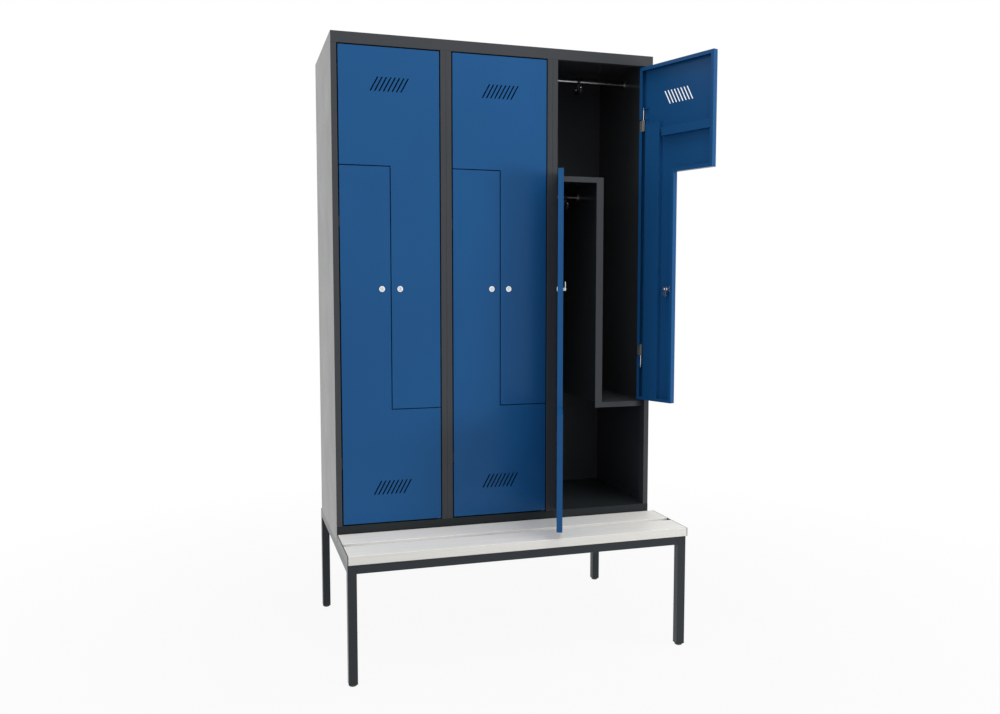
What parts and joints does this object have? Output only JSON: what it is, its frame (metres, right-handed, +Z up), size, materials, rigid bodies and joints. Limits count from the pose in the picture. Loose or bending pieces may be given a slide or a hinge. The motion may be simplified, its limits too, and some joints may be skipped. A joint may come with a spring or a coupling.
{
  "type": "locker unit",
  "caption": "Steel locker unit on a bench underframe: interlocking L-shaped doors on pivot hinges, Z-shaped dividers, coat rails with sliding hooks, cam locks and a slatted seat.",
  "frame": {"origin": "on the floor, under the middle of the cabinet's front plane", "axes": "+Z up, +Y from the doors to the back panel, +X to the right of someone facing the doors"},
  "size_m": [1.2915, 0.8534, 2.165],
  "materials": {
    "carcass_paint": "semi-gloss powder coat",
    "door_paint": "semi-gloss powder coat",
    "seat_slat": "satin",
    "black_plastic": "satin",
    "white_plastic": "satin",
    "bright_steel": "zinc plated",
    "hinge_steel": "powder coat",
    "chrome_lock": "polished"
  },
  "bodies": {
    "carcass": {"left_side_panel": "carcass_paint", "right_side_panel": "carcass_paint", "left_partition": "carcass_paint", "right_partition": "carcass_paint", "top_panel": "carcass_paint", "floor_panel": "carcass_paint", "back_panel": "carcass_paint", "column_1_z_divider": "carcass_paint", "column_2_z_divider": "carcass_paint", "column_3_z_divider": "carcass_paint", "coat_rails": "bright_steel", "hinge_brackets": "hinge_steel", "hinge_pins": "bright_steel", "left_leg_frame": "carcass_paint", "right_leg_frame": "carcass_paint", "front_rail": "carcass_paint", "rear_rail": "carcass_paint", "front_slat": "seat_slat", "rear_slat": "seat_slat", "seat_ends": "carcass_paint", "foot_caps": "black_plastic"},
    "column_1_upper_leaf": {"column_1_upper_door": "door_paint", "column_1_upper_hinge_stiffener": "door_paint", "column_1_upper_cross_stiffener": "door_paint", "column_1_upper_lock": "chrome_lock"},
    "column_1_upper_cam": {"column_1_upper_lock_cam": "bright_steel"},
    "column_1_upper_slider": {"column_1_upper_hook": "black_plastic"},
    "column_1_lower_leaf": {"column_1_lower_door": "door_paint", "column_1_lower_hinge_stiffener": "door_paint", "column_1_lower_cross_stiffener": "door_paint", "column_1_lower_lock": "chrome_lock", "column_1_lower_glide": "white_plastic"},
    "column_1_lower_cam": {"column_1_lower_lock_cam": "bright_steel"},
    "column_1_lower_slider": {"column_1_lower_hook": "black_plastic"},
    "column_2_upper_leaf": {"column_2_upper_door": "door_paint", "column_2_upper_hinge_stiffener": "door_paint", "column_2_upper_cross_stiffener": "door_paint", "column_2_upper_lock": "chrome_lock"},
    "column_2_upper_cam": {"column_2_upper_lock_cam": "bright_steel"},
    "column_2_upper_slider": {"column_2_upper_hook": "black_plastic"},
    "column_2_lower_leaf": {"column_2_lower_door": "door_paint", "column_2_lower_hinge_stiffener": "door_paint", "column_2_lower_cross_stiffener": "door_paint", "column_2_lower_lock": "chrome_lock", "column_2_lower_glide": "white_plastic"},
    "column_2_lower_cam": {"column_2_lower_lock_cam": "bright_steel"},
    "column_2_lower_slider": {"column_2_lower_hook": "black_plastic"},
    "column_3_upper_leaf": {"column_3_upper_door": "door_paint", "column_3_upper_hinge_stiffener": "door_paint", "column_3_upper_cross_stiffener": "door_paint", "column_3_upper_lock": "chrome_lock"},
    "column_3_upper_cam": {"column_3_upper_lock_cam": "bright_steel"},
    "column_3_upper_slider": {"column_3_upper_hook": "black_plastic"},
    "column_3_lower_leaf": {"column_3_lower_door": "door_paint", "column_3_lower_hinge_stiffener": "door_paint", "column_3_lower_cross_stiffener": "door_paint", "column_3_lower_lock": "chrome_lock", "column_3_lower_glide": "white_plastic"},
    "column_3_lower_cam": {"column_3_lower_lock_cam": "bright_steel"},
    "column_3_lower_slider": {"column_3_lower_hook": "black_plastic"}
  },
  "joints": [
    {"name": "column_1_upper_door_hinge", "type": "hinge", "parent": "carcass", "child": "column_1_upper_leaf", "pos_m": [-0.233, 0.008, 1.2945], "axis": [0, 0, 1], "range_deg": [0, 112]},
    {"name": "column_1_upper_lock_turn", "type": "hinge", "parent": "column_1_upper_leaf", "child": "column_1_upper_cam", "pos_m": [-0.368, 0.008, 1.2945], "axis": [0, 1, 0], "range_deg": [0, 90]},
    {"name": "column_1_upper_hook_slide", "type": "slide", "parent": "carcass", "child": "column_1_upper_slider", "axis": [1, 0, 0], "range_m": [-0.188, 0.188]},
    {"name": "column_1_lower_door_hinge", "type": "hinge", "parent": "carcass", "child": "column_1_lower_leaf", "pos_m": [-0.567, 0.008, 1.2945], "axis": [0, 0, 1], "range_deg": [-112, 0]},
    {"name": "column_1_lower_lock_turn", "type": "hinge", "parent": "column_1_lower_leaf", "child": "column_1_lower_cam", "pos_m": [-0.432, 0.008, 1.2945], "axis": [0, 1, 0], "range_deg": [0, 90]},
    {"name": "column_1_lower_hook_slide", "type": "slide", "parent": "carcass", "child": "column_1_lower_slider", "axis": [1, 0, 0], "range_m": [-0.138, 0.044]},
    {"name": "column_2_upper_door_hinge", "type": "hinge", "parent": "carcass", "child": "column_2_upper_leaf", "pos_m": [0.167, 0.008, 1.2945], "axis": [0, 0, 1], "range_deg": [0, 75]},
    {"name": "column_2_upper_lock_turn", "type": "hinge", "parent": "column_2_upper_leaf", "child": "column_2_upper_cam", "pos_m": [0.032, 0.008, 1.2945], "axis": [0, 1, 0], "range_deg": [0, 90]},
    {"name": "column_2_upper_hook_slide", "type": "slide", "parent": "carcass", "child": "column_2_upper_slider", "axis": [1, 0, 0], "range_m": [-0.188, 0.188]},
    {"name": "column_2_lower_door_hinge", "type": "hinge", "parent": "carcass", "child": "column_2_lower_leaf", "pos_m": [-0.167, 0.008, 1.2945], "axis": [0, 0, 1], "range_deg": [-112, 0]},
    {"name": "column_2_lower_lock_turn", "type": "hinge", "parent": "column_2_lower_leaf", "child": "column_2_lower_cam", "pos_m": [-0.032, 0.008, 1.2945], "axis": [0, 1, 0], "range_deg": [0, 90]},
    {"name": "column_2_lower_hook_slide", "type": "slide", "parent": "carcass", "child": "column_2_lower_slider", "axis": [1, 0, 0], "range_m": [-0.138, 0.044]},
    {"name": "column_3_upper_door_hinge", "type": "hinge", "parent": "carcass", "child": "column_3_upper_leaf", "pos_m": [0.567, 0.008, 1.2945], "axis": [0, 0, 1], "range_deg": [-110, 2]},
    {"name": "column_3_upper_lock_turn", "type": "hinge", "parent": "column_3_upper_leaf", "child": "column_3_upper_cam", "pos_m": [0.61317, -0.11886, 1.2945], "axis": [-0.9397, -0.342, 0], "range_deg": [0, 90]},
    {"name": "column_3_upper_hook_slide", "type": "slide", "parent": "carcass", "child": "column_3_upper_slider", "axis": [1, 0, 0], "range_m": [-0.188, 0.188]},
    {"name": "column_3_lower_door_hinge", "type": "hinge", "parent": "carcass", "child": "column_3_lower_leaf", "pos_m": [0.233, 0.008, 1.2945], "axis": [0, 0, 1], "range_deg": [-1.4, 110.6]},
    {"name": "column_3_lower_lock_turn", "type": "hinge", "parent": "column_3_lower_leaf", "child": "column_3_lower_cam", "pos_m": [0.1855, -0.11837, 1.2945], "axis": [0.9361, -0.3518, 0], "range_deg": [0, 90]},
    {"name": "column_3_lower_hook_slide", "type": "slide", "parent": "carcass", "child": "column_3_lower_slider", "axis": [1, 0, 0], "range_m": [-0.138, 0.044]}
  ]
}
